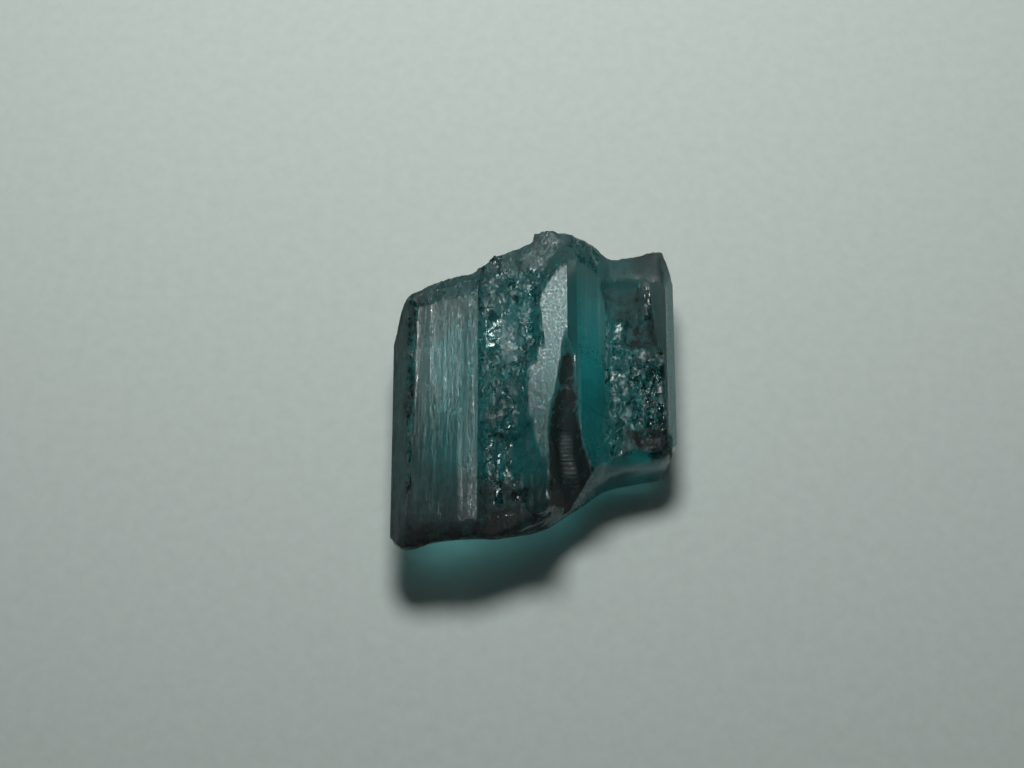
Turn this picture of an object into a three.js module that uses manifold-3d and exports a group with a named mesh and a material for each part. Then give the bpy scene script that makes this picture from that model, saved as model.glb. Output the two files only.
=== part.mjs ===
// A broken piece of a blue-green tourmaline prism: one solid stone.
// Millimetres, +Z up. The long axis of the prism runs along Y, its far broken end at +Y.
import * as THREE from 'three';
import { mergeVertices } from 'three/addons/utils/BufferGeometryUtils.js';
import Module from 'manifold-3d';

// The prism before it broke
const PRISM_HALF_LENGTH = 9.5;
const RIDGE_TOP = 6.05;
const RIDGE_LEAN = 0.14;
const LEFT_FACE_EDGE = -2.74;
const LEFT_FACE_TOP = 5.42;
const LEFT_FACE_LOW = 5.06;
const RIGHT_FACE_TOP = 4.6;

// The corners of the prism's section, as x and z, from the left foot over the top to the right foot,
// each with the number of growth lines on the face that follows it and their depth
const SECTION = [
  [-5.0, 0, 5, 0.05],
  [-6.4, 1.2, 6, 0.04],
  [-7.03, 3.45, 4, 0.03],
  [-6.15, LEFT_FACE_LOW, 5, 0.025],
  [-3.75, 5.39, 4, 0.03],
  [LEFT_FACE_EDGE, LEFT_FACE_TOP, 1, 0],
  [-2.3, 5.95, 1, 0],
  [-0.4, RIDGE_TOP - RIDGE_LEAN, 1, 0],
  [1.7, RIDGE_TOP, 1, 0],
  [2.2, 5.3, 4, 0.03],
  [3.6, 4.72, 1, 0],
  [3.85, 4.5, 3, 0.03],
  [6.7, RIGHT_FACE_TOP, 3, 0.03],
  [7.17, 3.4, 6, 0.04],
  [6.7, 1.4, 4, 0.05],
  [5.6, 0, 1, 0],
];

// The far broken end: x, where its sloping shoulder starts, and where the end face cuts
const FAR_END = [
  [-7.4, 1.2, 1.2],
  [-7.0, 2.6, 2.7],
  [-6.7, 3.7, 4.7],
  [-6.1, 3.9, 5.0],
  [-4.7, 4.3, 5.65],
  [-2.9, 4.6, 6.05],
  [-2.5, 5.9, 6.45],
  [-1.9, 6.2, 7.0],
  [-1.2, 6.4, 7.25],
  [0.0, 6.6, 7.65],
  [0.05, 6.3, 8.2],
  [0.7, 6.0, 8.35],
  [1.7, 6.6, 8.25],
  [2.3, 6.7, 8.15],
  [2.8, 6.5, 8.05],
  [3.4, 6.0, 7.65],
  [4.1, 5.8, 7.2],
  [5.0, 5.75, 7.55],
  [6.4, 6.0, 8.06],
  [6.75, 6.1, 8.02],
  [6.95, 6.2, 7.3],
  [7.4, 6.1, 5.2],
];

// The same end lower down, where its break runs smoother
const FAR_FOOT = [
  [-7.4, 2.4],
  [-6.0, 5.2],
  [-2.0, 7.1],
  [1.4, 8.1],
  [4.2, 7.4],
  [7.4, 6.6],
];
const SHOULDER_SLOPE = 0.32;
const SHOULDER_LUMP = 0.07;
const FAR_LEAN = 0.12;
const FAR_SHELL = 0.3;
const FAR_LUMP = 0.08;
const FAR_EDGE_LUMP = 0.03;
const FAR_BLEND = 2.2;

// The near broken end: x, then y and z of its upper brink, and y and z of its belly. It bulges at a cheek,
// which lies at a share of the way out and of the way down from the brink to the belly. Below the belly it
// is undercut down to a knee, and from the knee it runs back under the stone to the floor
const NEAR_END = [
  [-7.4, -7.1, 4.2, -7.5, 3.5],
  [-6.5, -7.4, 4.7, -8.45, 4.0],
  [-5.75, -7.6, 4.95, -8.5, 4.3],
  [-5.2, -7.65, 5.08, -8.2, 4.45],
  [-4.0, -7.6, 5.25, -8.15, 4.6],
  [-2.7, -7.55, 5.4, -8.05, 4.65],
  [-1.2, -7.1, 4.9, -7.75, 3.8],
  [-0.1, -6.95, 4.8, -7.3, 3.2],
  [0.3, -7.05, 5.5, -7.1, 3.0],
  [0.75, -7.05, 5.95, -6.85, 2.8],
  [1.1, -6.5, 4.6, -6.6, 2.6],
  [1.7, -5.9, 3.6, -6.1, 2.2],
  [2.75, -5.0, 3.7, -5.25, 1.8],
  [3.5, -4.1, 4.2, -4.6, 1.5],
  [4.5, -3.4, 4.5, -4.27, 1.4],
  [5.4, -2.95, 4.5, -4.12, 1.4],
  [6.4, -2.7, 4.5, -3.95, 1.3],
  [7.0, -2.6, 4.5, -3.3, 1.3],
  [7.4, -2.45, 4.5, -2.6, 1.3],
];
const CHEEK_OUT = 0.82;
const CHEEK_DOWN = 0.22;
const UNDERCUT = 0.4;
const KNEE_SHARE = 0.47;
const FOOT_RUN = 1.75;
const NEAR_SHELL = 0.1;
const NEAR_LUMP = 0.08;
const NEAR_SHELL_END = [2.8, 3.8];

// The pitted trough: the ragged edge of the ridge beside it, as y and x, and its depths
const RIDGE_EDGE = [
  [-9, 0.72],
  [-4.7, 0.6],
  [-4.36, 0.41],
  [-3.6, 0.12],
  [-2.85, 0.06],
  [-2.3, -0.12],
  [-1.7, -0.23],
  [-0.3, -0.25],
  [0.7, -0.17],
  [0.95, 0.2],
  [1.46, 0.29],
  [2.0, 0.5],
  [2.15, 0.62],
  [2.4, 0.41],
  [3.3, 0.38],
  [4.0, 0.34],
  [4.65, 0.41],
  [5.2, 0.77],
  [5.6, 0.93],
  [6.3, 1.4],
  [6.7, 1.65],
  [7.2, 3.5],
];
const RIDGE_JAG = 0.09;
const RIDGE_JAG_PITCH = 0.36;
const TROUGH_FLOOR = 4.95;
const TROUGH_WALL_SLOPE = 1.8;
const TROUGH_RISE = 0.3;
const TROUGH_LUMP = 0.2;
const TROUGH_GRAIN = 0.1;
const TROUGH_LUMP_SIZE = [0.5, 0.6];
const LOWER_LUMP_STRETCH = 0.7;
const PATCH_CALM = 0.7;
const LOWER_CALM = 0.3;
const RAGGED_SLOPE = 1.7;
const LOWER_TROUGH_TOP = -2.75;
const LOWER_TROUGH_DROP = 0.3;

// A smoother patch and a hole in the trough, as x and y of two corners
const SMOOTH_PATCH = [-1.9, 1.0, -0.9, 3.3];
const HOLE = [-1.0, -5.95, -0.45, -5.5];
const HOLE_DEPTH = 0.35;
const HOLE_RIM = 0.11;

// Two long glassy columns standing in the lower trough, as x and y of two corners
const COLUMNS = [
  [-1.78, -6.2, -1.62, -3.0],
  [-0.94, -4.6, -0.78, -3.0],
];
const COLUMN_HEIGHT = 0.34;
const COLUMN_RIM = 0.08;

// The crack across the trough, as x and y
const CRACK = [
  [-2.3, -2.45],
  [-1.28, -2.97],
  [0.1, -2.35],
];
const CRACK_DEPTH = 0.3;
const CRACK_HALF_WIDTH = 0.1;

// The narrow prism strips down the ridge's lower flank: distance out from the ridge and drop
const STRIPS = [
  [0, 0],
  [0.2, 0.5],
  [0.5, 0.65],
  [0.62, 0.95],
  [0.85, 1.05],
  [1.35, 2.05],
];

// The dark shell-shaped break beside the ridge: its left and right rims and its floor, by y
const BREAK_LEFT = [
  [-9, 0.73],
  [-3.85, 0.73],
  [-3.2, 0.66],
  [-1.9, 0.88],
  [-0.95, 1.08],
  [0.9, 1.38],
  [2.0, 1.6],
];
const BREAK_RIGHT = [
  [-9, 4.4],
  [-5.35, 3.1],
  [-4.55, 2.79],
  [-3.25, 2.4],
  [-1.9, 2.21],
  [1.2, 2.19],
  [2.0, 1.64],
];
const BREAK_FLOOR = [
  [-7.0, 2.2],
  [-5.8, 3.5],
  [-5.3, 3.9],
  [-4.65, 4.3],
  [-2.85, 4.75],
  [-1.9, 4.95],
  [-0.95, 5.2],
  [1.2, 5.55],
  [2.4, 5.95],
  [3.0, 6.3],
];
const BREAK_LEFT_SLOPE = 3.0;
const BREAK_RIGHT_SLOPE = 1.5;
const BREAK_BOWL = 0.3;
const BREAK_LUMP = 0.07;
const BREAK_LUMP_SIZE = [0.5, 0.8];
const RIGHT_WALL_CALM = 0.6;

// The rough right-hand face: its left rim, by y, and how far it is broken down
const ROUGH_RIM = [
  [-4.0, 3.34],
  [-2.8, 3.41],
  [-1.55, 3.62],
  [0.7, 3.74],
  [2.65, 3.92],
  [4.05, 3.83],
  [5.45, 3.44],
  [5.85, 3.49],
];
const ROUGH_RIGHT = [
  [-4.0, 6.6],
  [1.6, 6.5],
  [2.4, 6.15],
  [5.7, 5.8],
];
const ROUGH_DEPTH = 0.16;
const ROUGH_FAR = 5.7;
const ROUGH_LUMP = 0.13;
const ROUGH_GRAIN = 0.1;
const ROUGH_LUMP_SIZE = [0.34, 0.42];
const ROUGH_RIM_SLOPE = 3.0;
const ROUGH_FAR_SLOPE = 1.6;
const ROUGH_RIGHT_SLOPE = 2.5;

// Places on it, as x and y of two corners: growth lines left standing, square pits, and a dip by the near end
const LINED_PATCH = [5.2, -2.2, 6.4, 1.4];
const LINE_PITCH = 0.24;
const LINE_HEIGHT = 0.08;
const SQUARE_PITS = [
  [3.5, 3.85, 5.4, 5.6],
  [4.65, 2.3, 6.1, 3.65],
];
const PIT_DEPTH = 0.38;
const PIT_RIM = 0.07;
const DIP = [5.2, -3.1, 6.5, -2.4];
const DIP_DEPTH = 0.3;

// Chips along the stone's sharp edges: x, y and z of each, and its radius
const CHIPS = [
  [-6.44, 4.0, 5.34, 0.75],
  [-6.4, 3.1, 5.24, 0.58],
  [-6.46, 2.25, 5.32, 0.72],
  [-6.42, 1.0, 5.24, 0.55],
  [-6.44, 0.3, 5.32, 0.68],
  [-6.42, -0.6, 5.24, 0.58],
  [-6.42, -1.45, 5.27, 0.62],
  [-6.4, -2.2, 5.22, 0.52],
  [-6.4, -3.6, 5.24, 0.48],
  [-6.42, -5.4, 5.24, 0.5],
  [-6.75, -7.9, 5.3, 0.8],
  [-5.7, -8.75, 5.4, 0.75],
  [-3.3, -8.8, 5.75, 0.75],
  [-1.7, 7.75, 5.6, 0.7],
  [-0.7, 8.15, 5.8, 0.7],
  [1.2, 8.75, 5.9, 0.7],
  [7.25, 0.6, 5.05, 0.6],
  [7.3, -0.5, 5.05, 0.62],
  [7.25, -1.6, 5.05, 0.6],
  [-6.95, 3.4, 0.9, 0.7],
  [-6.35, -1.6, 0.15, 0.9],
  [6.9, 2.2, 0.3, 0.9],
  [6.6, -2.7, 0.2, 0.7],
  [-3.6, -6.5, -0.2, 0.8],
];

const COLOUR = 0x1d6a69;

// A fixed scatter between 0 and 1 for two whole numbers
function scatter(i, j) {
  const s = Math.sin(i * 127.1 + j * 311.7) * 43758.5453;
  return s - Math.floor(s);
}

// Soft lumps between -1 and 1, one to every whole step of u and v
function lumps(u, v) {
  const i = Math.floor(u);
  const j = Math.floor(v);
  const s = THREE.MathUtils.smoothstep(u - i, 0, 1);
  const t = THREE.MathUtils.smoothstep(v - j, 0, 1);
  const low = THREE.MathUtils.lerp(scatter(i, j), scatter(i + 1, j), s);
  const high = THREE.MathUtils.lerp(scatter(i, j + 1), scatter(i + 1, j + 1), s);
  return THREE.MathUtils.lerp(low, high, t) * 2 - 1;
}

// The value in one column of a table at a place along its first column
function along(table, at, column = 1) {
  const last = table.length - 1;
  if (at <= table[0][0]) return table[0][column];
  if (at >= table[last][0]) return table[last][column];
  const k = table.findIndex((row) => row[0] > at);
  const t = (at - table[k - 1][0]) / (table[k][0] - table[k - 1][0]);
  return THREE.MathUtils.lerp(table[k - 1][column], table[k][column], t);
}

// Evenly set out places from one value to another
function places(from, to, count) {
  return Array.from({ length: count + 1 }, (_, k) => from + (to - from) * k / count);
}

// How strongly a place lies inside a band, 0 to 1, with soft borders
function band(at, from, to, soft) {
  const rise = THREE.MathUtils.smoothstep(at, from - soft, from + soft);
  return rise * (1 - THREE.MathUtils.smoothstep(at, to - soft, to + soft));
}

// The same for a patch between two corners
function patch([x0, y0, x1, y1], x, y, soft) {
  return band(x, x0, x1, soft) * band(y, y0, y1, soft);
}

// The outline of the prism's section, with growth lines across its faces
function sectionShape() {
  const outline = [];
  SECTION.forEach(([x, z, lines, depth], k) => {
    const [nextX, nextZ] = SECTION[(k + 1) % SECTION.length];
    const face = new THREE.Vector2(nextX - x, nextZ - z);
    const inward = new THREE.Vector2(face.y, -face.x).normalize();
    outline.push(new THREE.Vector2(x, z));
    for (let n = 1; n < lines; n += 1) {
      const t = (n + 0.5 * (scatter(k, n) - 0.5)) / lines;
      const sink = depth * (n % 2 ? 1 : 0.3) * (0.6 + 0.8 * scatter(n, k + 40));
      outline.push(new THREE.Vector2(x, z).addScaledVector(face, t).addScaledVector(inward, sink));
    }
  });
  return new THREE.Shape(outline);
}

// The top of the unbroken prism at a place across it
function prismTop(x) {
  return along(SECTION.slice(3, 14).map(([px, pz]) => [px, pz]), x);
}

// The wall between the ridge and the trough, at a distance out from the ridge's edge:
// ragged on the upper stone, and narrow prism strips on the lower stone
function ridgeWall(out, y) {
  const ragged = RIDGE_TOP - RAGGED_SLOPE * out;
  const strips = RIDGE_TOP + RAGGED_SLOPE * Math.max(-out, 0) - along(STRIPS, out);
  const upper = THREE.MathUtils.smoothstep(y, LOWER_TROUGH_TOP - 0.8, LOWER_TROUGH_TOP + 0.2);
  return THREE.MathUtils.lerp(strips, ragged, upper);
}

// The pitted trough between the left face and the ridge
function troughSurface(x, y) {
  const wall = LEFT_FACE_TOP - TROUGH_WALL_SLOPE * (x - LEFT_FACE_EDGE);
  const low = 1 - THREE.MathUtils.smoothstep(y, LOWER_TROUGH_TOP - 0.25, LOWER_TROUGH_TOP + 0.25);
  const calm = 1 - PATCH_CALM * patch(SMOOTH_PATCH, x, y, 0.3);
  const [wide, long] = TROUGH_LUMP_SIZE;
  const lumpy = lumps(x / wide + 9, y / (long + LOWER_LUMP_STRETCH * low));
  const lump = TROUGH_LUMP * (calm - LOWER_CALM * low) * lumpy;
  const grain = TROUGH_GRAIN * calm * (scatter(Math.round(x * 40), Math.round(y * 40)) - 0.5);
  const columns = COLUMNS.reduce((sum, corners) => sum + COLUMN_HEIGHT * patch(corners, x, y, COLUMN_RIM), 0);
  const hole = HOLE_DEPTH * patch(HOLE, x, y, HOLE_RIM);
  const offCrack = Math.abs(y - along(CRACK, x));
  const crack = CRACK_DEPTH * (1 - THREE.MathUtils.smoothstep(offCrack, 0, 2 * CRACK_HALF_WIDTH));
  const rise = TROUGH_RISE * THREE.MathUtils.smoothstep(x, -2.3, 0.2) * (1 - low);
  const floor = TROUGH_FLOOR + rise - LOWER_TROUGH_DROP * low + lump + grain + columns - hole - crack;
  const edge = along(RIDGE_EDGE, y) + RIDGE_JAG * lumps(y / RIDGE_JAG_PITCH, 2.5);
  return Math.max(floor, wall, ridgeWall(edge - x, y));
}

// The shell-shaped break: a hollow floor between two walls
function breakSurface(x, y) {
  const left = along(BREAK_LEFT, y);
  const right = along(BREAK_RIGHT, y);
  const offMiddle = (2 * x - left - right) / (right - left);
  const [wide, long] = BREAK_LUMP_SIZE;
  const wobble = BREAK_LUMP * lumps(x / wide, y / long + 20);
  const floor = along(BREAK_FLOOR, y) + BREAK_BOWL * (Math.min(offMiddle ** 2, 1) - 0.5) + wobble;
  const leftWall = RIDGE_TOP - BREAK_LEFT_SLOPE * (x - left) + wobble;
  const rightWall = prismTop(right) - BREAK_RIGHT_SLOPE * (right - x) + RIGHT_WALL_CALM * wobble;
  return Math.max(floor, leftWall, rightWall);
}

// The rough right-hand face with its square pits
function roughSurface(x, y) {
  const level = prismTop(x) - ROUGH_DEPTH;
  const rim = ROUGH_RIM_SLOPE * (along(ROUGH_RIM, y) - x);
  const farRim = ROUGH_FAR_SLOPE * (y - ROUGH_FAR);
  const rightRim = ROUGH_RIGHT_SLOPE * (x - along(ROUGH_RIGHT, y));
  const lined = patch(LINED_PATCH, x, y, 0.35);
  const [wide, long] = ROUGH_LUMP_SIZE;
  const lump = ROUGH_LUMP * lumps(x / wide + 50, y / long + 30) * (1 - 0.5 * lined);
  const lines = LINE_HEIGHT * lined * Math.sin(x / LINE_PITCH * 2 * Math.PI);
  const grain = ROUGH_GRAIN * (scatter(Math.round(x * 50), Math.round(y * 50)) - 0.5);
  const pits = Math.max(...SQUARE_PITS.map((corners) => PIT_DEPTH * patch(corners, x, y, PIT_RIM)));
  const dip = DIP_DEPTH * patch(DIP, x, y, 0.17);
  const floor = level + lump + lines + grain - pits - dip;
  return Math.max(floor, level + Math.max(rim, farRim, rightRim));
}

// The shoulder that slopes down to the far end
function shoulderSurface(x, y) {
  const start = along(FAR_END, x, 1);
  const lump = SHOULDER_LUMP * lumps(x / 0.5 + 7, y / 0.4 + 3);
  const rough = lump * THREE.MathUtils.smoothstep(y, start, start + 0.5);
  return prismTop(x) - SHOULDER_SLOPE * (y - start) + rough;
}

// The far end face, leaning outwards as it goes down
function farSurface(x, z) {
  const shell = FAR_SHELL * lumps(x / 2.3, z / 1.9 + 11) + FAR_LUMP * lumps(x / 0.7, z / 0.6 + 5);
  const depth = RIGHT_FACE_TOP - z;
  const foot = along(FAR_FOOT, x) + FAR_LEAN * depth + shell;
  const down = THREE.MathUtils.smoothstep(depth, 0, FAR_BLEND);
  return THREE.MathUtils.lerp(along(FAR_END, x, 2) + FAR_EDGE_LUMP * lumps(x / 0.3, z), foot, down);
}

// The near end face: brink, belly, knee and foot
function nearSurface(x, z) {
  const brinkY = along(NEAR_END, x, 1);
  const brinkZ = along(NEAR_END, x, 2);
  const bellyY = along(NEAR_END, x, 3);
  const bellyZ = along(NEAR_END, x, 4);
  const cheekY = THREE.MathUtils.lerp(brinkY, bellyY, CHEEK_OUT);
  const cheekZ = THREE.MathUtils.lerp(brinkZ, bellyZ, CHEEK_DOWN);
  const kneeZ = KNEE_SHARE * bellyZ;
  const kneeY = bellyY + UNDERCUT * (bellyZ - kneeZ);
  const profile = [
    [0, kneeY + FOOT_RUN * kneeZ],
    [kneeZ, kneeY],
    [bellyZ, bellyY],
    [cheekZ, cheekY],
    [brinkZ, brinkY],
    [7, brinkY + 0.6],
  ];
  const shelly = 1 - THREE.MathUtils.smoothstep(x, ...NEAR_SHELL_END);
  const shell = NEAR_SHELL * shelly * lumps(x / 0.6 + 3, z / 0.5);
  return along(profile, z) + shell + NEAR_LUMP * lumps(x / 1.5, z / 0.9 + 8);
}

// A closed block over a grid of u and v, filled from its shaped side to a flat lid;
// looseness scatters the grid's inner points by that share of a step
function block(us, vs, shaped, lid, place, looseness = 0) {
  const points = [];
  const faces = [];
  const wide = vs.length;
  const lidStart = us.length * wide;
  const shift = (list, k, other) => {
    if (k === 0 || k === list.length - 1) return list[k];
    return list[k] + looseness * (scatter(k, other) - 0.5) * (list[k + 1] - list[k - 1]);
  };
  for (const height of [shaped, () => lid]) {
    for (let i = 0; i < us.length; i += 1) {
      for (let j = 0; j < wide; j += 1) {
        const u = shift(us, i, j + 0.5);
        const v = shift(vs, j, i + 90.5);
        points.push(...place(u, v, height(u, v)));
      }
    }
  }
  const quad = (a, b, c, d) => faces.push(a, b, c, a, c, d);
  for (let i = 0; i + 1 < us.length; i += 1) {
    for (let j = 0; j + 1 < wide; j += 1) {
      const a = i * wide + j;
      quad(a, a + 1, a + wide + 1, a + wide);
      quad(lidStart + a, lidStart + a + wide, lidStart + a + wide + 1, lidStart + a + 1);
    }
  }
  for (let i = 0; i + 1 < us.length; i += 1) {
    const a = i * wide;
    const b = a + wide - 1;
    quad(a, a + wide, lidStart + a + wide, lidStart + a);
    quad(b, lidStart + b, lidStart + b + wide, b + wide);
  }
  for (let j = 0; j + 1 < wide; j += 1) {
    const a = j;
    const b = lidStart - wide + j;
    quad(a, lidStart + a, lidStart + a + 1, a + 1);
    quad(b, b + 1, lidStart + b + 1, lidStart + b);
  }
  const geometry = new THREE.BufferGeometry();
  geometry.setAttribute('position', new THREE.Float32BufferAttribute(points, 3));
  geometry.setIndex(faces);
  return geometry;
}

const wasm = await Module();
wasm.setup();

// A three.js shape as a solid that can be cut, its faces turned outwards
function solid(geometry) {
  const bare = new THREE.BufferGeometry();
  bare.setAttribute('position', geometry.getAttribute('position'));
  bare.setIndex(geometry.getIndex());
  const welded = mergeVertices(bare, 1e-4);
  const vertProperties = Float32Array.from(welded.getAttribute('position').array);
  const triVerts = Uint32Array.from(welded.getIndex().array);
  const [a, b, c] = [new THREE.Vector3(), new THREE.Vector3(), new THREE.Vector3()];
  let volume = 0;
  for (let k = 0; k < triVerts.length; k += 3) {
    a.fromArray(vertProperties, triVerts[k] * 3);
    b.fromArray(vertProperties, triVerts[k + 1] * 3);
    c.fromArray(vertProperties, triVerts[k + 2] * 3);
    volume += a.dot(b.cross(c));
  }
  if (volume < 0) {
    for (let k = 0; k < triVerts.length; k += 3) {
      [triVerts[k], triVerts[k + 1]] = [triVerts[k + 1], triVerts[k]];
    }
  }
  return new wasm.Manifold(new wasm.Mesh({ numProp: 3, vertProperties, triVerts }));
}

// The whole prism, its section drawn out along Y
function prism() {
  const geometry = new THREE.ExtrudeGeometry(sectionShape(), {
    depth: 2 * PRISM_HALF_LENGTH,
    bevelEnabled: false,
  });
  geometry.rotateX(Math.PI / 2);
  geometry.translate(0, PRISM_HALF_LENGTH, 0);
  return solid(geometry);
}

// A chip: a small many-sided hollow struck out of an edge
function chip([x, y, z, radius], k) {
  const geometry = new THREE.IcosahedronGeometry(radius, 1);
  geometry.rotateX(k);
  geometry.rotateZ(2 * k);
  geometry.scale(1, 1.25, 1);
  geometry.translate(x, y, z);
  return solid(geometry);
}

const fromAbove = (u, v, w) => [u, v, w];
const fromEnd = (u, v, w) => [u, w, v];
const nearHeights = [...places(-0.4, 3.6, 8), ...places(3.85, 6.6, 11)];
const acrossLeft = places(-7.6, 0.0, 24);
const acrossRight = places(0.05, 7.6, 24);

let stone = prism();
stone = stone.subtract(solid(block(
  places(-3.1, 2.4, 32), places(-9.2, 8.8, 66), troughSurface, 8, fromAbove, 0.35)));
stone = stone.subtract(solid(block(
  places(0.4, 4.2, 22), places(-7.0, 2.6, 40), breakSurface, 8, fromAbove)));
stone = stone.subtract(solid(block(
  places(3.1, 6.95, 26), places(-4.4, 6.3, 40), roughSurface, 8, fromAbove, 0.3)));
stone = stone.subtract(solid(block(
  places(-7.6, 7.6, 44), places(3.4, 9.0, 12), shoulderSurface, 8, fromAbove, 0.3)));
stone = stone.subtract(solid(block(
  [...acrossLeft, ...acrossRight], places(-0.4, 6.6, 12), farSurface, 12, fromEnd)));
stone = stone.subtract(solid(block(
  places(-7.6, 7.6, 44), nearHeights, nearSurface, -12, fromEnd)));
CHIPS.forEach((each, k) => {
  stone = stone.subtract(chip(each, k));
});

// The finished stone, its middle over the origin and its flat underside at z = 0
const { vertProperties, triVerts } = stone.getMesh();
const geometry = new THREE.BufferGeometry();
geometry.setAttribute('position', new THREE.Float32BufferAttribute(vertProperties, 3));
geometry.setIndex(Array.from(triVerts));
geometry.computeBoundingBox();
const middle = geometry.boundingBox.getCenter(new THREE.Vector3());
geometry.translate(-middle.x, -middle.y, -geometry.boundingBox.min.z);
geometry.computeVertexNormals();

const material = new THREE.MeshStandardMaterial({ color: COLOUR, roughness: 0.2, metalness: 0 });
material.name = 'tourmaline';
const crystal = new THREE.Mesh(geometry, material);
crystal.name = 'tourmaline_crystal';

const part = new THREE.Group();
part.name = 'tourmaline_crystal_part';
part.add(crystal);
export default part;
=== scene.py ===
import math
from collections import namedtuple

import bmesh
import bpy
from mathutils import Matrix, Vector, noise
from mathutils.geometry import intersect_point_line


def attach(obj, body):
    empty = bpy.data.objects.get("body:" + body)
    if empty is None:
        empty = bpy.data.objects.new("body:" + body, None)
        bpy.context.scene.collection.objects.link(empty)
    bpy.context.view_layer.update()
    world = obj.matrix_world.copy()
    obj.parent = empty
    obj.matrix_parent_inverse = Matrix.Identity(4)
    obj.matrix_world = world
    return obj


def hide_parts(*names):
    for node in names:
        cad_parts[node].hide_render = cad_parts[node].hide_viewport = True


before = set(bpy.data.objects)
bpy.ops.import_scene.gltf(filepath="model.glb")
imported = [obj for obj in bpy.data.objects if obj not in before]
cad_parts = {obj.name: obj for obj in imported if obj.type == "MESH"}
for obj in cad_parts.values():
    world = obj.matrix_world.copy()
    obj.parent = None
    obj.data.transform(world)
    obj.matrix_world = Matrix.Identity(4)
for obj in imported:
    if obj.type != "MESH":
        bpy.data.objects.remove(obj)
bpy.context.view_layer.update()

# A see-through blue-green tourmaline crystal, broken at both ends, lying on a pale sheet.
# The CAD solid gives its main shapes. Here its surface is refined, given its growth lines and the fine
# grain of its breaks, and made of glassy and frosted tourmaline.

MM = 0.001
CRYSTAL = "tourmaline_crystal"

# The refined surface, in millimetres: points as close as this are one, the shortest edge kept, the longest
# edge, and the longest on breaks that are hackly or rippled
WELD = 0.0005
SHORTEST_EDGE = 0.012
LONGEST_EDGE = 0.28
FINE_EDGE = 0.11
# Edges along the growth lines count as this share of their length, breaks are divided finely from this much
# hackle or ripple, and the edges are split in at most so many rounds
ALONG_LINES = 0.5
FINE_FROM = 0.4
SPLIT_ROUNDS = 9

# The finish of a place on the stone: x from and to, y from and to (mm), the least and most that the face
# looks up, how frosted it is from 0, glassy, to about 1.8, matt, how streaky its frost is, how hackly its
# break is, how dark it is with grime and painted shade from 0, clean, to about 1.3, and how rippled; a pair
# of frosts runs from the near to the far end of the place. The first row that holds a face counts.
Finish = namedtuple("Finish", "place across along up frost streak hackle grime ripple", defaults=(0.0,))
# On the grown faces the grime is mostly painted shade: most of all it darkens the left flank and the left
# face's near end, which also deepens the shadow that the stone casts on the sheet
GROWN_FINISH = [
    Finish("left face, far", (-6.4, -3.75), (0.0, 9.0), (0.9, 1.0), 0.95, 1.0, 0.0, 0.0),
    Finish("left face, near", (-6.4, -3.75), (-4.5, 0.0), (0.9, 1.0), (1.8, 0.95), 1.0, 0.0, 0.05),
    Finish("left face, near end", (-6.4, -3.75), (-9.0, -4.5), (0.9, 1.0), 1.8, 1.0, 0.0, 0.35),
    Finish("left face strip", (-3.75, -2.6), (-9.0, 9.0), (0.9, 1.0), 1.15, 0.8, 0.0, 0.0),
    Finish("ridge top, far", (-0.6, 1.75), (1.0, 9.0), (0.97, 1.0), (0.9, 0.68), 0.12, 0.0, 0.0),
    Finish("ridge top, near", (-0.6, 1.75), (-5.0, 1.0), (0.97, 1.0), (1.5, 0.9), 0.2, 0.0, 0.0),
    Finish("ridge flank", (1.6, 2.2), (-9.0, 9.0), (0.3, 0.8), 0.2, 0.8, 0.0, 0.0),
    Finish("valley crease", (2.1, 2.3), (-4.0, 5.5), (0.8, 0.97), 0.75, 1.0, 0.0, 0.0),
    Finish("valley face, far", (2.0, 3.6), (0.0, 9.0), (0.8, 0.97), (0.2, 1.9), 0.5, 0.0, 0.0),
    Finish("valley face", (2.0, 3.6), (-9.0, 0.0), (0.8, 0.97), (0.7, 0.2), 1.0, 0.0, 0.22),
    Finish("right strip", (3.7, 6.8), (-9.0, 9.0), (0.9, 1.0), 1.8, 0.6, 0.0, 0.05),
    Finish("left flank", (-7.2, -6.0), (-9.0, 9.0), (0.1, 0.8), 1.4, 1.0, 0.0, 0.4),
    Finish("right flank", (6.6, 7.2), (-9.0, 9.0), (0.1, 0.8), 0.6, 0.5, 0.0, 0.0),
    Finish("underside", (-7.2, 7.2), (-9.0, 9.0), (-1.0, -0.1), 0.4, 0.5, 0.0, 0.0),
]
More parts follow.
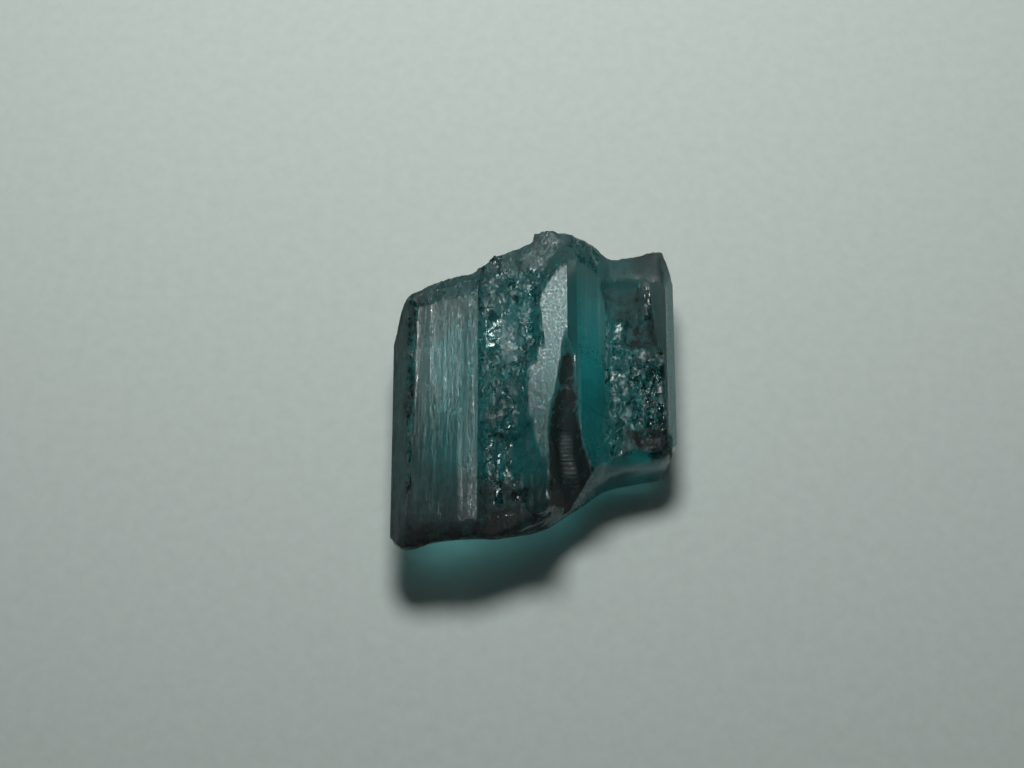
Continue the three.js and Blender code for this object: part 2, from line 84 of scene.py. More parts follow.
# On the breaks the grime is mostly painted shade, with some dirt in the pits: it darkens the near brink, the
# trough's end and hole, the dip, the pits, the dark lens, the chips and the shell breaks, where little light
# comes back out, and the near face, which deepens the shadow that the stone casts on the sheet
BROKEN_FINISH = [
    Finish("left shoulder", (-6.6, -2.7), (3.4, 7.0), (0.8, 1.0), 0.85, 0.9, 0.55, 0.0),
    Finish("right shoulder", (3.3, 7.0), (5.4, 9.0), (0.3, 1.0), 1.0, 0.5, 0.1, 0.0),
    Finish("left edge chips", (-6.9, -5.6), (-7.2, 4.8), (-1.0, 1.0), 0.1, 0.0, 0.3, 1.0),
    Finish("dip", (4.4, 6.8), (-3.4, -2.2), (-1.0, 1.0), 1.3, 0.0, 0.45, 0.9),
    Finish("lower right edge", (3.0, 7.2), (-9.0, -2.6), (0.0, 0.3), 0.1, 0.0, 0.1, 0.35),
    Finish("lower right break", (3.0, 7.2), (-9.0, -2.6), (-1.0, 0.85), 0.05, 0.0, 0.06, 0.15),
    Finish("near face", (-7.2, 2.0), (-9.0, -6.2), (-0.65, 0.0), 0.3, 0.0, 0.1, 0.6),
    Finish("near foot", (-7.2, 2.0), (-9.0, -4.0), (-1.0, 0.0), 0.1, 0.0, 0.05, 0.0),
    Finish("near brink", (-7.2, 1.2), (-9.0, -6.8), (0.0, 1.0), 1.8, 0.0, 0.15, 1.0),
    Finish("hole", (-1.1, -0.35), (-6.05, -5.4), (-1.0, 1.0), 0.4, 0.0, 0.3, 1.0),
    Finish("ridge strips", (-0.6, 0.75), (-7.4, -2.7), (-1.0, 1.0), 1.0, 1.0, 0.05, 0.1),
    Finish("left column", (-1.95, -1.55), (-6.3, -3.0), (-1.0, 1.0), 0.35, 0.0, 0.2, 0.0),
    Finish("right column", (-1.1, -0.75), (-4.7, -3.0), (-1.0, 1.0), 0.35, 0.0, 0.2, 0.0),
    Finish("trough end", (-2.8, 0.75), (-8.0, -5.2), (-1.0, 1.0), 1.8, 0.0, 0.4, 0.75),
    Finish("lower trough", (-2.8, 0.75), (-8.0, -2.2), (-1.0, 1.0), 0.65, 0.0, 0.6, 0.45),
    Finish("far end", (-7.2, 7.2), (4.0, 9.0), (-1.0, 0.25), 0.4, 0.0, 0.2, 0.0),
    Finish("far ridge end", (-1.6, 1.8), (6.1, 9.0), (0.2, 1.0), 1.0, 0.0, 0.3, 0.1),
    Finish("glint patch", (-2.4, -1.65), (1.8, 3.4), (0.2, 1.0), 0.35, 0.0, 0.3, 0.0),
    Finish("green patch", (-1.75, -0.8), (1.0, 3.6), (0.2, 1.0), 0.85, 0.0, 0.2, 0.0),
    Finish("trough, far", (-2.8, 0.9), (2.0, 6.8), (0.2, 1.0), 0.7, 0.0, 0.7, 0.05),
    Finish("trough", (-2.8, 0.6), (-2.2, 2.0), (0.2, 1.0), 0.75, 0.0, 0.8, 0.45),
    Finish("shell break, far", (0.6, 3.2), (-2.4, 2.4), (-1.0, 1.0), 1.7, 0.0, 0.3, 1.1),
    Finish("under the shell break", (0.6, 3.2), (-9.0, -2.4), (-1.0, 0.3), 0.4, 0.0, 0.15, 0.4),
    Finish("rippled break", (0.9, 2.4), (-5.4, -2.6), (0.3, 1.0), 1.2, 0.0, 0.1, 1.3, 1.0),
    Finish("shell break", (0.6, 3.2), (-7.5, -2.4), (0.3, 1.0), 1.8, 0.0, 0.1, 1.3, 0.6),
    Finish("square pits", (3.4, 5.5), (3.7, 5.8), (-1.0, 1.0), 1.8, 0.0, 0.2, 0.7),
    Finish("small pits", (4.55, 6.2), (2.2, 3.7), (-1.0, 1.0), 1.7, 0.0, 0.4, 0.8),
    Finish("dark lens", (3.6, 4.5), (0.55, 0.85), (-1.0, 1.0), 0.6, 0.0, 0.3, 1.0),
    Finish("sparkling patch", (5.0, 6.8), (-2.6, 1.2), (0.2, 1.0), 0.3, 0.0, 0.9, 0.0),
    Finish("sparkling corner", (3.4, 5.6), (-4.2, -1.9), (0.2, 1.0), 0.3, 0.0, 0.9, 0.0),
    Finish("rough patch", (3.4, 6.8), (-4.2, 2.6), (0.2, 1.0), 0.5, 0.0, 0.8, 0.05),
]
# Dark cracks across the trough, as x and y of their ends, and half their width (mm)
CRACKS = [
    (Vector((-2.4, -2.5)), Vector((-1.35, -3.05))),
    (Vector((-1.35, -3.05)), Vector((0.0, -2.45))),
]
CRACK_REACH = 0.13
CRACK_FINISH = Finish("crack", None, None, None, 0.6, 0.0, 0.3, 1.0)
# A thin stained crack across the valley face: x and y of its ends, half its width and how far it wavers (mm),
# how often it does, and how dark its stain is
STAIN_START = (2.08, -1.04)
STAIN_END = (3.5, -1.72)
STAIN_REACH = 0.055
STAIN_WAVER = 0.35
STAIN_WAVERS_PER_METRE = 1500.0
STAIN_DEPTH = 0.8
# All cracks lie above this height (mm)
TOP_SIDE = 4.0
# Grown faces run along Y: the most that their normals may lean that way
GROWN_TILT = 0.02
# Places on the breaks meet in ragged lines: how far these stray (mm) and how often
RAGGED_REACH = 0.15
RAGGED_PER_MM = 1.7
FINISH_LAYERS = ("grown", "frost", "streak", "hackle", "grime", "ripple")
BARE_BREAK = Finish("bare break", None, None, None, 0.5, 0.0, 0.35, 0.15)

# Softening of the solid's triangles on the breaks: its rounds, how fast hackle takes it away, and the least
# of it that is left
BREAK_SOFTENING = 4
HACKLE_HOLD = 2.0
HACKLE_SOFTENING = 0.5
# Growth lines: height and pitch (mm), and how many times longer than wide
LINE_HEIGHT = 0.02
LINE_PITCH = 0.22
LINE_STRETCH = 14.0
# Scales of the hackly breaks: size (mm), how many times longer than wide, slope, and how irregular
SCALE_SIZE = 0.36
SCALE_STRETCH = 1.4
SCALE_TILT = 0.8
SCALE_WARP = 0.9
# Patches where scales and ripples are strong or faint: size (mm), the noise between which they change, and
# how strong the faint ones are
PATCH_SIZE = 1.3
PATCH_RANGE = (0.4, 0.6)
PATCH_LEAST = 0.45
# Grain of the hackly breaks: height and size (mm)
GRAIN_HEIGHT = 0.14
GRAIN_SIZE = 0.45
# Ripples of the shell-shaped break: height and pitch (mm), bow (to a millimetre), the x of the bow's middle
# (mm), how many pitches they waver and the size of a waver (mm)
RIPPLE_HEIGHT = 0.012
RIPPLE_PITCH = 0.2
RIPPLE_BOW = 0.25
RIPPLE_MIDDLE = 1.6
RIPPLE_WAVER = 2.0
RIPPLE_WAVER_SIZE = 1.125
# Rounds of blurring at the edges of the grime and painted shade, the bend that makes a crease, the height up
# to which the foot stays flat (mm), and the seed of the relief and the ragged lines
GRIME_AND_SHADE_SOFTENING = 3
CREASE = math.radians(14)
OFF_FLOOR = 0.02
SEED = 7

# Flakes on the scales: size (mm), how many times longer than wide, slope, and how irregular
FLAKE_SIZE = 0.1
FLAKE_STRETCH = 1.7
FLAKE_TILT = 1.4
FLAKE_WARP = 0.8
# Each scale has a tone of its own, from 0 to 1: its roughness falls by this much from the lowest tone to the
# highest
SCALE_SHEEN = 0.5
# Scales of low tone are calm: the tones between which flakes go from faint to strong, and how strong the
# faint ones are
CALM_SCALES = (0.25, 0.45)
CALM_SCALE_FLAKES = 0.2
# Scales of high tone are painted dark, as shade between scales: the tones where it sets in, and its most
DARK_SCALES = (0.68, 0.78)
DARK_SCALE_SHADE = 0.75
# Fine streaks, short and long, by how many fit into a metre across, along and up, how strong they are, and
# the speckles between them
SHORT_STREAKS_PER_METRE = (21000, 2200, 21000)
LONG_STREAKS_PER_METRE = (9000, 400, 9000)
STREAK_STRENGTH = 0.6
SPECKLES_PER_METRE = 9000.0
# The height of streaks and speckles (mm)
FINE_RELIEF = 0.012
# By how much streaks and speckles vary the frost, the roughness that frost adds to that of glassy places, and
# the limits of roughness
STREAK_FROST = 3.2
SPECKLE_FROST = 1.8
FROST_ROUGHNESS = 0.5
GLASS_ROUGHNESS = 0.05
LEAST_ROUGHNESS = 0.04
MOST_ROUGHNESS = 0.9
# Grime and painted shade lie in blots, which have a contrast, a mean and a least strength, and grime along
# the streaks
BLOTS_PER_METRE = 1500.0
BLOT_CONTRAST = 3.0
BLOT_MEAN = 1.1
BLOT_LEAST = 0.2
STREAK_GRIME = 2.0

# Tourmaline
REFRACTION = 1.63
ABSORPTION_COLOUR = (0.06, 0.645, 0.66, 1.0)
ABSORPTION_PER_METRE = 430.0
# The base colour of clean stone, and the dark colour painted for full grime and shade
CLEAN_TINT = (0.9, 0.97, 0.98, 1.0)
GRIME_AND_SHADE_TINT = (0.003, 0.014, 0.015, 1.0)

# Camera: the photo's frame, its viewing angle and its scale on the stone
PHOTO_SIZE = (1024, 768)
STONE_PIXEL = (533.0, 391.5)
STONE_MIDDLE = Vector((-0.07, -0.08, 4.0)) * MM
ELEVATION = math.radians(68)
CAMERA_DISTANCE = 120 * MM
PIXELS_PER_MM = 20.0
SENSOR = 36.0
CLIP_START = 2 * MM

# Lamps: a round soft lamp above the stone and behind it, aimed at a place on the sheet farther back, and its
# wide dim surround; power in watts
LAMP_DIRECTION = Vector((-0.05, 0.42, 1.0)).normalized()
LAMP_DISTANCE = 108 * MM
LAMP_DIAMETER = 40 * MM
LAMP_POWER = 0.104
LAMP_AIM = 65 * MM
SURROUND_DIAMETER = 110 * MM
SURROUND_POWER = 0.006
SURROUND_BEHIND = 5 * MM
LAMP_COLOUR = (0.91, 1.0, 0.96)
# Light of the room at the horizon and overhead, and the height from which it is that of overhead
HORIZON_LIGHT = (0.1, 0.107, 0.104, 1.0)
UPPER_LIGHT = (0.014, 0.016, 0.015, 1.0)
UPPER_FROM = 0.3

# The sheet: half its width (m), its fibres and their two tones, and the glow of its far parts with where that
# begins and is full (m)
FLOOR_HALF = 2.0
SHEET_FIBRES_PER_METRE = 1500.0
SHEET_TONE_STARTS = (0.3, 0.7)
SHEET_TONES = ((0.60, 0.62, 0.61, 1.0), (0.64, 0.66, 0.65, 1.0))
SHEET_ROUGHNESS = 0.9
SHEET_SPECULAR = 0.2
FAR_GLOW = 0.36
FAR_GLOW_REACH = (0.12, 0.6)
FAR_GLOW_COLOUR = (0.93, 1.0, 0.97, 1.0)
# Light passes out of the stone and into the sheet through a thin gap
SHEET_GAP = 0.02 * MM

# The middle of a noise's or a cell's colour
HALF = (0.5, 0.5, 0.5)


def face_finish(normal, centre):
    """The finish of a small face, from the way it looks and where it lies."""
    runs_along = abs(normal.y) < GROWN_TILT
    for finish in GROWN_FINISH + BROKEN_FINISH if runs_along else BROKEN_FINISH:
        across = finish.across[0] <= centre.x <= finish.across[1]
        along = finish.along[0] <= centre.y <= finish.along[1]
        if across and along and finish.up[0] <= normal.z <= finish.up[1]:
            return finish
    return BARE_BREAK


def on_crack(centre):
    """Whether a small face lies on one of the trough's cracks."""
    spot = centre.xy
    for start, end in CRACKS:
        nearest, share = intersect_point_line(spot, start, end)
        if 0.0 <= share <= 1.0 and (nearest.xy - spot).length < CRACK_REACH and centre.z > TOP_SIDE:
            return True
    return False


def frost_at(finish, y):
    """A finish's frosting at a place along the stone."""
    if isinstance(finish.frost, float):
        return finish.frost
    near, far = finish.frost
    share = (y - finish.along[0]) / (finish.along[1] - finish.along[0])
    return near + (far - near) * share


def mark_faces(bm):
    """Marks each small face as grown or broken, with its finish."""
    floats = bm.faces.layers.float
    layers = {name: floats.get(name) or floats.new(name) for name in FINISH_LAYERS}
    for face in bm.faces:
        face.normal_update()
        centre = face.calc_center_median() / MM
        finish = face_finish(face.normal, centre)
        grown = finish in GROWN_FINISH
        if not grown:
            ragged = centre + RAGGED_REACH * noise.noise_vector(centre * RAGGED_PER_MM)
            finish = CRACK_FINISH if on_crack(ragged) else face_finish(face.normal, ragged)
        face[layers["grown"]] = float(grown)
        face[layers["frost"]] = frost_at(finish, centre.y)
        face[layers["streak"]] = finish.streak
        face[layers["hackle"]] = finish.hackle
        face[layers["grime"]] = finish.grime
        face[layers["ripple"]] = finish.ripple


def split_long_edges(bm):
    """Splits the solid's long edges until the mesh is fine enough for relief."""
    squeeze = Vector((1.0, ALONG_LINES, 1.0))
    hackle = bm.faces.layers.float["hackle"]
    ripple = bm.faces.layers.float["ripple"]
    for _ in range(SPLIT_ROUNDS):
        long_edges = []
        for edge in bm.edges:
            run = edge.verts[1].co - edge.verts[0].co
            fine = any(face[hackle] > FINE_FROM or face[ripple] > FINE_FROM for face in edge.link_faces)
            length = run.length / FINE_EDGE if fine else (run * squeeze).length / LONGEST_EDGE
            if length > MM:
                long_edges.append(edge)
        if not long_edges:
            return
        bmesh.ops.subdivide_edges(bm, edges=long_edges, cuts=1)
        cut_faces = [face for face in bm.faces if len(face.verts) > 3]
        bmesh.ops.triangulate(bm, faces=cut_faces, quad_method="SHORT_EDGE")


def refined_stone():
    """A welded, finely divided copy of the CAD solid, as a new object."""
    bm = bmesh.new()
    bm.from_mesh(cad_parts[CRYSTAL].data)
    bmesh.ops.remove_doubles(bm, verts=bm.verts, dist=WELD * MM)
    bmesh.ops.dissolve_degenerate(bm, edges=bm.edges, dist=SHORTEST_EDGE * MM)
    bmesh.ops.triangulate(bm, faces=bm.faces, quad_method="SHORT_EDGE")
    noise.seed_set(SEED)
    mark_faces(bm)
    split_long_edges(bm)
    mark_faces(bm)
    mesh = bpy.data.meshes.new("tourmaline_surface")
    bm.to_mesh(mesh)
    bm.free()
    stone = bpy.data.objects.new("tourmaline_surface", mesh)
    bpy.context.collection.objects.link(stone)
    return stone


class Tree:
    """Shorthand for building a node tree."""

    def __init__(self, tree):
        self.tree = tree

    def node(self, kind, inputs=None, **settings):
        """A new node with its settings and inputs; an input is a value or another node's output."""
        made = self.tree.nodes.new(kind)
        for name, value in settings.items():
            setattr(made, name, value)
        for key, value in (inputs or {}).items():
            self.feed(made.inputs[key], value)
        return made

    def feed(self, socket, value):
        """Links an output to an input, or sets the input to a value."""
        if isinstance(value, bpy.types.NodeSocket):
            self.tree.links.new(value, socket)
        else:
            socket.default_value = value

    def math(self, operation, *values, clamp=False):
        made = self.node("ShaderNodeMath", operation=operation, use_clamp=clamp)
        for socket, value in zip(made.inputs, values):
            self.feed(socket, value)
        return made.outputs[0]

    def vector(self, operation, *values):
        made = self.node("ShaderNodeVectorMath", operation=operation)
        for socket, value in zip(made.inputs, values):
            self.feed(socket, value)
        return made.outputs[0]

    def scaled(self, vector, factor):
        made = self.node("ShaderNodeVectorMath", {0: vector, "Scale": factor}, operation="SCALE")
        return made.outputs[0]

    def combined(self, x, y, z):
        return self.node("ShaderNodeCombineXYZ", {"X": x, "Y": y, "Z": z}).outputs[0]

    def apart(self, vector):
        return self.node("ShaderNodeSeparateXYZ", {"Vector": vector}).outputs

    def between(self, value, start, end, least=0.0, most=1.0):
        """Rises from least to most while a value goes from start to end."""
        made = self.node("ShaderNodeMapRange", {
            "Value": value, "From Min": start, "From Max": end, "To Min": least, "To Max": most})
        return made.outputs[0]

    def noise(self, vector, scale=1.0, detail=2.0, roughness=0.5, output="Fac"):
        made = self.node("ShaderNodeTexNoise", {
            "Vector": vector, "Scale": scale, "Detail": detail, "Roughness": roughness})
        return made.outputs[output]

    def warped(self, vector, amount):
        """A place shifted by noise, to make the cells read there irregular."""
        shift = self.vector("SUBTRACT", self.noise(vector, output="Color"), HALF)
        return self.vector("ADD", vector, self.scaled(shift, amount))

    def tilted_cells(self, place):
        """Cells that each tilt their own way: the height in a cell, and the colour that is the cell's own."""
        cells = self.node("ShaderNodeTexVoronoi", {"Vector": place, "Scale": 1.0})
        from_middle = self.vector("SUBTRACT", place, cells.outputs["Position"])
        tilt = self.vector("SUBTRACT", cells.outputs["Color"], HALF)
        height = self.node("ShaderNodeVectorMath", {0: from_middle, 1: tilt}, operation="DOT_PRODUCT")
        return height.outputs["Value"], cells.outputs["Color"]

    def marked(self, name):
        """A mark of the stone's faces, for geometry nodes."""
        return self.node("GeometryNodeInputNamedAttribute", {"Name": name}, data_type="FLOAT").outputs[0]

    def painted(self, name):
        """A mark of the stone's faces, for a material."""
        return self.node("ShaderNodeAttribute", attribute_name=name).outputs["Fac"]

    @staticmethod
    def live_value(sockets):
        """The value socket that a node uses, among those for its other kinds of data."""
        return [socket for socket in sockets if socket.name == "Value" and socket.enabled][0]

    def blurred(self, value, rounds, weight=1.0, kind="FLOAT"):
        made = self.node("GeometryNodeBlurAttribute", {"Iterations": rounds, "Weight": weight},
                         data_type=kind)
        self.feed(self.live_value(made.inputs), value)
        return self.live_value(made.outputs)

    def store(self, geometry, name, value):
        """Keeps a value with each point of the mesh."""
        made = self.node("GeometryNodeStoreNamedAttribute", {"Geometry": geometry, "Name": name},
                         data_type="FLOAT", domain="POINT")
        self.feed(self.live_value(made.inputs), value)
        return made.outputs[0]


def soft_breaks(tree, given, position, off_floor):
    """The stone with the solid's triangles softened on its breaks, less on the hackly ones."""
    broken = tree.math("SUBTRACT", 1.0, tree.marked("grown"))
    held = tree.math("MULTIPLY", tree.marked("hackle"), given["Hackle Hold"])
    calm = tree.math("MAXIMUM", tree.math("SUBTRACT", 1.0, held), given["Hackle Softening"])
    plain = tree.math("SUBTRACT", 1.0, tree.marked("streak"), clamp=True)
    free = tree.math("MULTIPLY", broken, tree.math("MULTIPLY", calm, plain))
    free = tree.math("MULTIPLY", free, off_floor)
    place = tree.blurred(position, given["Break Softening"], free, "FLOAT_VECTOR")
    return tree.node("GeometryNodeSetPosition", {"Geometry": given["Geometry"], "Position": place}).outputs[0]


def stretched(tree, position, size, stretch, shift):
    """A place measured in a given size, and in a longer one along Y."""
    across = tree.math("DIVIDE", 1.0, size)
    along = tree.math("DIVIDE", across, stretch)
    place = tree.vector("MULTIPLY", position, tree.combined(across, along, across))
    return tree.vector("ADD", place, shift)


def growth_lines(tree, given, position, shift):
    """Fine lines along Y on the grown faces."""
    place = stretched(tree, position, given["Line Pitch"], given["Line Stretch"], shift)
    lines = tree.math("SUBTRACT", tree.noise(place), 0.5)
    return tree.math("MULTIPLY", tree.math("MULTIPLY", lines, given["Line Height"]), tree.marked("grown"))


def break_grain(tree, given, position, shift):
    """Grain all over the hackly breaks."""
    place = stretched(tree, position, given["Grain Size"], 1.0, shift)
    grain = tree.math("SUBTRACT", tree.noise(place, detail=4.0, roughness=0.6), 0.5)
    return tree.math("MULTIPLY", tree.math("MULTIPLY", grain, given["Grain Height"]), tree.marked("hackle"))


def break_patches(tree, given, position, shift):
    """Where the scales and ripples of the breaks are strong, and where they are faint."""
    place = stretched(tree, position, given["Patch Size"], 1.0, shift)
    return tree.between(tree.noise(place, detail=1.0), *PATCH_RANGE, least=given["Patch Least"])


def break_scales(tree, given, position, shift, patches):
    """Scales of the hackly breaks, each a small flat tilted its own way, and each one's tone."""
    place = stretched(tree, position, given["Scale Size"], given["Scale Stretch"], shift)
    height, colour = tree.tilted_cells(tree.warped(place, given["Scale Warp"]))
    height = tree.math("MULTIPLY", tree.math("MULTIPLY", height, given["Scale Tilt"]), given["Scale Size"])
    rough = tree.math("MULTIPLY", tree.marked("hackle"), patches)
    return tree.math("MULTIPLY", height, rough), tree.apart(colour)["X"]


def break_ripples(tree, given, position, patches):
    """Ripples that bow across the shell-shaped break."""
    apart = tree.apart(position)
    off_middle = tree.math("SUBTRACT", apart["X"], given["Ripple Middle"])
    bow = tree.math("MULTIPLY", tree.math("MULTIPLY", off_middle, off_middle), given["Ripple Bow"])
    turns = tree.math("DIVIDE", tree.math("SUBTRACT", apart["Y"], bow), given["Ripple Pitch"])
    waver_place = tree.scaled(position, tree.math("DIVIDE", 1.0, given["Ripple Waver Size"]))
    waver = tree.math("MULTIPLY", tree.noise(waver_place), given["Ripple Waver"])
    wave = tree.math("SINE", tree.math("MULTIPLY", tree.math("ADD", turns, waver), 2 * math.pi))
    wave = tree.math("MULTIPLY", tree.math("MULTIPLY", wave, given["Ripple Height"]), tree.marked("ripple"))
    return tree.math("MULTIPLY", wave, patches)


def smooth_with_creases(tree, given, geometry):
    """Smooth shading, with hard creases where the surface bends sharply."""
    smooth = tree.node("GeometryNodeSetShadeSmooth", {"Geometry": geometry}, domain="FACE")
    angle = tree.node("GeometryNodeInputMeshEdgeAngle").outputs["Unsigned Angle"]
    crease = tree.math("GREATER_THAN", angle, given["Crease Angle"])
    creased = tree.node("GeometryNodeSetShadeSmooth", {
        "Geometry": smooth.outputs[0], "Selection": crease, "Shade Smooth": False}, domain="EDGE")
    return creased.outputs[0]


def relief_tree():
    """Geometry nodes that soften the breaks and raise all the relief, and the sizes they take."""
    group = bpy.data.node_groups.new("stone_relief", "GeometryNodeTree")
    sizes = {
        "Break Softening": ("NodeSocketInt", BREAK_SOFTENING),
        "Hackle Hold": ("NodeSocketFloat", HACKLE_HOLD),
        "Hackle Softening": ("NodeSocketFloat", HACKLE_SOFTENING),
        "Line Height": ("NodeSocketFloat", LINE_HEIGHT * MM),
        "Line Pitch": ("NodeSocketFloat", LINE_PITCH * MM),
        "Line Stretch": ("NodeSocketFloat", LINE_STRETCH),
        "Scale Size": ("NodeSocketFloat", SCALE_SIZE * MM),
        "Scale Stretch": ("NodeSocketFloat", SCALE_STRETCH),
        "Scale Tilt": ("NodeSocketFloat", SCALE_TILT),
        "Scale Warp": ("NodeSocketFloat", SCALE_WARP),
        "Patch Size": ("NodeSocketFloat", PATCH_SIZE * MM),
        "Patch Least": ("NodeSocketFloat", PATCH_LEAST),
        "Grain Height": ("NodeSocketFloat", GRAIN_HEIGHT * MM),
        "Grain Size": ("NodeSocketFloat", GRAIN_SIZE * MM),
        "Ripple Height": ("NodeSocketFloat", RIPPLE_HEIGHT * MM),
        "Ripple Pitch": ("NodeSocketFloat", RIPPLE_PITCH * MM),
        "Ripple Bow": ("NodeSocketFloat", RIPPLE_BOW / MM),
        "Ripple Middle": ("NodeSocketFloat", RIPPLE_MIDDLE * MM),
        "Ripple Waver": ("NodeSocketFloat", RIPPLE_WAVER),
        "Ripple Waver Size": ("NodeSocketFloat", RIPPLE_WAVER_SIZE * MM),
        "Grime And Shade Softening": ("NodeSocketInt", GRIME_AND_SHADE_SOFTENING),
        "Crease Angle": ("NodeSocketFloat", CREASE),
        "Seed": ("NodeSocketFloat", float(SEED)),
        "Stone": ("NodeSocketMaterial", None),
    }
    group.interface.new_socket("Geometry", in_out="INPUT", socket_type="NodeSocketGeometry")
    for name, (kind, _) in sizes.items():
        group.interface.new_socket(name, in_out="INPUT", socket_type=kind)
    group.interface.new_socket("Geometry", in_out="OUTPUT", socket_type="NodeSocketGeometry")
    tree = Tree(group)
    given = tree.node("NodeGroupInput").outputs
    position = tree.node("GeometryNodeInputPosition").outputs[0]
    off_floor = tree.math("GREATER_THAN", tree.apart(position)["Z"], OFF_FLOOR * MM)
    shift = tree.combined(given["Seed"], given["Seed"], 0.0)
    soft = soft_breaks(tree, given, position, off_floor)
    patches = break_patches(tree, given, position, shift)
    scales, tone = break_scales(tree, given, position, shift, patches)
    ripples = break_ripples(tree, given, position, patches)
    lines = growth_lines(tree, given, position, shift)
    grain = break_grain(tree, given, position, shift)
    relief = tree.math("ADD", tree.math("ADD", lines, grain), tree.math("ADD", scales, ripples))
    normal = tree.node("GeometryNodeInputNormal").outputs[0]
    rise = tree.scaled(normal, tree.math("MULTIPLY", relief, off_floor))

    # Each scale keeps its tone for its sheen and its painted shade, and the grime and painted shade end
    # softly
    toned = tree.store(soft, "scale tone", tone)
    raised = tree.node("GeometryNodeSetPosition", {"Geometry": toned, "Offset": rise}).outputs[0]
    soft_grime_and_shade = tree.blurred(tree.marked("grime"), given["Grime And Shade Softening"])
    grimy_and_shaded = tree.store(raised, "soft grime", soft_grime_and_shade)
    creased = smooth_with_creases(tree, given, grimy_and_shaded)
    real = tree.node("GeometryNodeRealizeInstances", {"Geometry": creased})
    coat = tree.node("GeometryNodeSetMaterial", {"Geometry": real.outputs[0], "Material": given["Stone"]})
    tree.node("NodeGroupOutput", {"Geometry": coat.outputs[0]})
    return group, {name: value for name, (_, value) in sizes.items()}


def with_relief(stone, material):
    """The stone with its relief as a plain mesh."""
    group, sizes = relief_tree()
    sizes["Stone"] = material
    modifier = stone.modifiers.new("relief", "NODES")
    modifier.node_group = group
    for socket in group.interface.items_tree:
        if socket.in_out == "INPUT" and socket.name in sizes:
            modifier[socket.identifier] = sizes[socket.name]
    evaluated = stone.evaluated_get(bpy.context.evaluated_depsgraph_get())
    mesh = bpy.data.meshes.new_from_object(evaluated)
    stone.modifiers.remove(modifier)
    stone.data = mesh
    return stone


def stain(tree, place):
    """How strongly a place lies on the valley face's stained crack."""
    apart = tree.apart(place)
    run = (STAIN_END[0] - STAIN_START[0]) * MM
    share = tree.math("DIVIDE", tree.math("SUBTRACT", apart["X"], STAIN_START[0] * MM), run)
    waver = tree.math("SUBTRACT", tree.noise(place, STAIN_WAVERS_PER_METRE), 0.5)
    middle = tree.math("MULTIPLY", share, (STAIN_END[1] - STAIN_START[1]) * MM)
    middle = tree.math("ADD", middle, tree.math("MULTIPLY", waver, STAIN_WAVER * MM))
    off = tree.math("SUBTRACT", tree.math("SUBTRACT", apart["Y"], STAIN_START[1] * MM), middle)
    off = tree.math("DIVIDE", tree.math("ABSOLUTE", off), STAIN_REACH * MM)
    strength = tree.math("MULTIPLY", tree.math("SUBTRACT", 1.0, off, clamp=True), STAIN_DEPTH)
    inside = tree.math("MULTIPLY", tree.math("GREATER_THAN", share, 0.0), tree.math("LESS_THAN", share, 1.0))
    inside = tree.math("MULTIPLY", inside, tree.math("GREATER_THAN", apart["Z"], TOP_SIDE * MM))
    return tree.math("MULTIPLY", strength, inside)


def fine_streaks(tree, place):
    """Fine streaks along the growth lines, short ones and long ones together."""
    short = tree.node("ShaderNodeMapping", {"Vector": place, "Scale": SHORT_STREAKS_PER_METRE}).outputs[0]
    long = tree.node("ShaderNodeMapping", {"Vector": place, "Scale": LONG_STREAKS_PER_METRE}).outputs[0]
    both = tree.math("ADD", tree.noise(short, detail=4.0, roughness=0.65),
                     tree.noise(long, detail=4.0, roughness=0.65))
    streaks = tree.math("MULTIPLY", tree.math("SUBTRACT", both, 1.0), STREAK_STRENGTH)
    return tree.math("MULTIPLY", streaks, tree.painted("streak"))


def frosted(tree, frost, streak, speckle, tone):
    """The roughness of a place: its frost, varied by streaks and speckles, and from scale to scale."""
    worn = tree.math("ADD", tree.math("MULTIPLY", streak, STREAK_FROST), 1.0)
    worn = tree.math("ADD", worn, tree.math("MULTIPLY", tree.math("SUBTRACT", speckle, 0.5), SPECKLE_FROST))
    haze = tree.math("MULTIPLY", tree.math("MULTIPLY", frost, worn), FROST_ROUGHNESS)
    change = tree.math("MULTIPLY", tree.math("SUBTRACT", 0.5, tone), SCALE_SHEEN)
    change = tree.math("MULTIPLY", change, tree.painted("hackle"))
    rough = tree.math("ADD", tree.math("ADD", haze, GLASS_ROUGHNESS), change)
    return tree.math("MINIMUM", tree.math("MAXIMUM", rough, LEAST_ROUGHNESS), MOST_ROUGHNESS)


def flakes(tree, place, tone):
    """Flakes too small for the mesh, each tilted its own way, faint on the calm scales."""
    one_flake = 1 / (FLAKE_SIZE * MM)
    flake_place = tree.node("ShaderNodeMapping", {
        "Vector": place, "Scale": (one_flake, one_flake / FLAKE_STRETCH, one_flake)}).outputs[0]
    height, _ = tree.tilted_cells(tree.warped(flake_place, FLAKE_WARP))
    height = tree.math("MULTIPLY", height, FLAKE_TILT * FLAKE_SIZE * MM)
    strong = tree.between(tone, *CALM_SCALES, least=CALM_SCALE_FLAKES)
    return tree.math("MULTIPLY", tree.math("MULTIPLY", height, strong), tree.painted("hackle"))


def grime(tree, place, streak, tone):
    """How dark a place is with grime and painted shade: in blots, along the streaks, on the dark scales and
    on the crack.
    """
    blot = tree.noise(place, BLOTS_PER_METRE, detail=4.0, roughness=0.6)
    blot = tree.math("ADD", tree.math("MULTIPLY", tree.math("SUBTRACT", blot, 0.5), BLOT_CONTRAST), BLOT_MEAN)
    blot = tree.math("MAXIMUM", blot, BLOT_LEAST)
    dirt_and_shade = tree.math("MULTIPLY", tree.painted("soft grime"), blot, clamp=True)
    lines = tree.math("MULTIPLY", tree.math("MAXIMUM", streak, 0.0), STREAK_GRIME)
    dirt_and_shade = tree.math("ADD", dirt_and_shade, lines, clamp=True)
    dark = tree.between(tone, *DARK_SCALES, most=DARK_SCALE_SHADE)
    dirt_and_shade = tree.math("MAXIMUM", dirt_and_shade, tree.math("MULTIPLY", dark, tree.painted("hackle")))
    return tree.math("MAXIMUM", dirt_and_shade, stain(tree, place))


